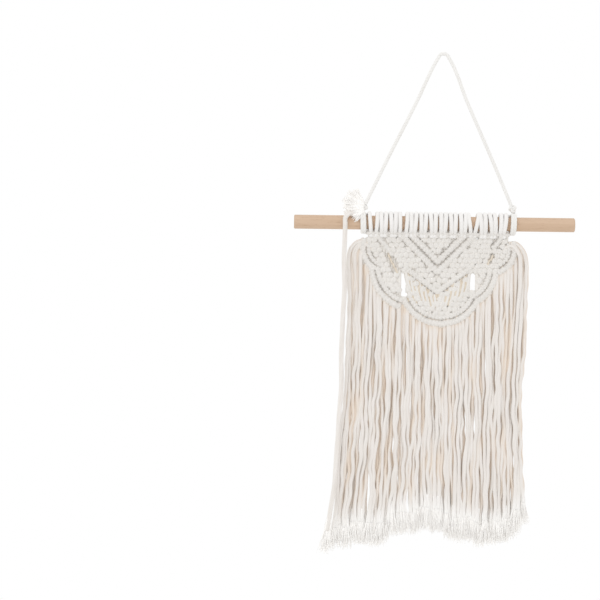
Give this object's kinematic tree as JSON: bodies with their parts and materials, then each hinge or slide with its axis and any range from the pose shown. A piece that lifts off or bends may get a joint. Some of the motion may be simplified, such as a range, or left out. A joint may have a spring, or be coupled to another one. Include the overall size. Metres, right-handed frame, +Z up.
{
  "type": "macrame wall hanging",
  "caption": "Macrame wall hanging: a round wooden dowel on a hanger cord, a scalloped knotted cotton panel and a long loose fringe.",
  "frame": {"origin": "under the bend of the hanger cord, where the nail carries it", "axes": "+Z up; +X along the dowel, to the right as seen from the room; +Y towards the wall"},
  "size_m": [0.3, 0.0246, 0.5245],
  "materials": {
    "beech": "sanded, unvarnished",
    "bright_cotton": "twisted cotton cord, bleached",
    "knotted_cotton": "knotted cotton cord, off-white",
    "fringe_cotton": "loose twisted cotton cord, natural"
  },
  "bodies": {
    "hanger": {"hanger_cord": "bright_cotton", "hanger_hitch_left": "bright_cotton", "hanger_hitch_right": "bright_cotton", "hanger_knot_left": "bright_cotton", "hanger_knot_right": "bright_cotton", "hanger_tuft": "bright_cotton", "hanger_tail_bend": "bright_cotton"},
    "panel": {"larks_head_01": "bright_cotton", "larks_head_02": "bright_cotton", "larks_head_03": "bright_cotton", "larks_head_04": "bright_cotton", "larks_head_05": "bright_cotton", "larks_head_06": "bright_cotton", "larks_head_07": "bright_cotton", "larks_head_08": "bright_cotton", "larks_head_09": "bright_cotton", "larks_head_10": "bright_cotton", "larks_head_11": "bright_cotton", "larks_head_12": "bright_cotton", "larks_head_13": "bright_cotton", "larks_head_14": "bright_cotton", "centre_field": "knotted_cotton", "v_ridge_upper": "knotted_cotton", "v_ridge_middle": "knotted_cotton", "v_ridge_lower": "knotted_cotton", "scallop_upper_left": "knotted_cotton", "scallop_lower_left": "knotted_cotton", "scallop_bottom": "knotted_cotton", "scallop_lower_right": "knotted_cotton", "scallop_upper_right": "knotted_cotton", "knot_field_left": "knotted_cotton", "knot_field_right": "knotted_cotton", "lattice_left": "knotted_cotton", "lattice_right": "knotted_cotton", "fringe_head_left": "fringe_cotton", "fringe_head_right": "fringe_cotton"},
    "dowel": {"dowel": "beech"},
    "tail": {"hanger_tail": "fringe_cotton"},
    "lock_01": {"fringe_lock_01": "fringe_cotton"},
    "lock_02": {"fringe_lock_02": "fringe_cotton"},
    "lock_03": {"fringe_lock_03": "fringe_cotton"},
    "lock_04": {"fringe_lock_04": "fringe_cotton"},
    "lock_05": {"fringe_lock_05": "fringe_cotton"},
    "lock_06": {"fringe_lock_06": "fringe_cotton"},
    "lock_07": {"fringe_lock_07": "fringe_cotton"},
    "lock_08": {"fringe_lock_08": "fringe_cotton"},
    "lock_09": {"fringe_lock_09": "fringe_cotton"},
    "lock_10": {"fringe_lock_10": "fringe_cotton"},
    "lock_11": {"fringe_lock_11": "fringe_cotton"},
    "lock_12": {"fringe_lock_12": "fringe_cotton"}
  },
  "joints": [
    {"name": "panel_swing", "type": "hinge", "parent": "hanger", "child": "panel", "pos_m": [-0.0075, 0, -0.1795], "axis": [-1, 0, 0], "range_deg": [-5, 75]},
    {"name": "dowel_roll", "type": "hinge", "parent": "panel", "child": "dowel", "pos_m": [-0.0075, 0, -0.1795], "axis": [1, 0, 0], "continuous": true},
    {"name": "tail_swing", "type": "hinge", "parent": "hanger", "child": "tail", "pos_m": [-0.103, -0.01045, -0.1816], "axis": [-1, 0, 0], "range_deg": [-3, 75]},
    {"name": "lock_01_swing", "type": "hinge", "parent": "panel", "child": "lock_01", "pos_m": [-0.09238, 0, -0.22472], "axis": [-1, 0, 0], "range_deg": [-5, 60]},
    {"name": "lock_02_swing", "type": "hinge", "parent": "panel", "child": "lock_02", "pos_m": [-0.07635, 0, -0.25977], "axis": [-1, 0, 0], "range_deg": [-5, 60]},
    {"name": "lock_03_swing", "type": "hinge", "parent": "panel", "child": "lock_03", "pos_m": [-0.06032, 0, -0.27455], "axis": [-1, 0, 0], "range_deg": [-5, 60]},
    {"name": "lock_04_swing", "type": "hinge", "parent": "panel", "child": "lock_04", "pos_m": [-0.04428, 0, -0.28031], "axis": [-1, 0, 0], "range_deg": [-5, 60]},
    {"name": "lock_05_swing", "type": "hinge", "parent": "panel", "child": "lock_05", "pos_m": [-0.02825, 0, -0.29103], "axis": [-1, 0, 0], "range_deg": [-5, 60]},
    {"name": "lock_06_swing", "type": "hinge", "parent": "panel", "child": "lock_06", "pos_m": [-0.01222, 0, -0.29569], "axis": [-1, 0, 0], "range_deg": [-5, 60]},
    {"name": "lock_07_swing", "type": "hinge", "parent": "panel", "child": "lock_07", "pos_m": [0.00382, 0, -0.29591], "axis": [-1, 0, 0], "range_deg": [-5, 60]},
    {"name": "lock_08_swing", "type": "hinge", "parent": "panel", "child": "lock_08", "pos_m": [0.01985, 0, -0.29443], "axis": [-1, 0, 0], "range_deg": [-5, 60]},
    {"name": "lock_09_swing", "type": "hinge", "parent": "panel", "child": "lock_09", "pos_m": [0.03588, 0, -0.28664], "axis": [-1, 0, 0], "range_deg": [-5, 60]},
    {"name": "lock_10_swing", "type": "hinge", "parent": "panel", "child": "lock_10", "pos_m": [0.05192, 0, -0.26932], "axis": [-1, 0, 0], "range_deg": [-5, 60]},
    {"name": "lock_11_swing", "type": "hinge", "parent": "panel", "child": "lock_11", "pos_m": [0.06795, 0, -0.24682], "axis": [-1, 0, 0], "range_deg": [-5, 60]},
    {"name": "lock_12_swing", "type": "hinge", "parent": "panel", "child": "lock_12", "pos_m": [0.08398, 0, -0.22753], "axis": [-1, 0, 0], "range_deg": [-5, 60]}
  ]
}
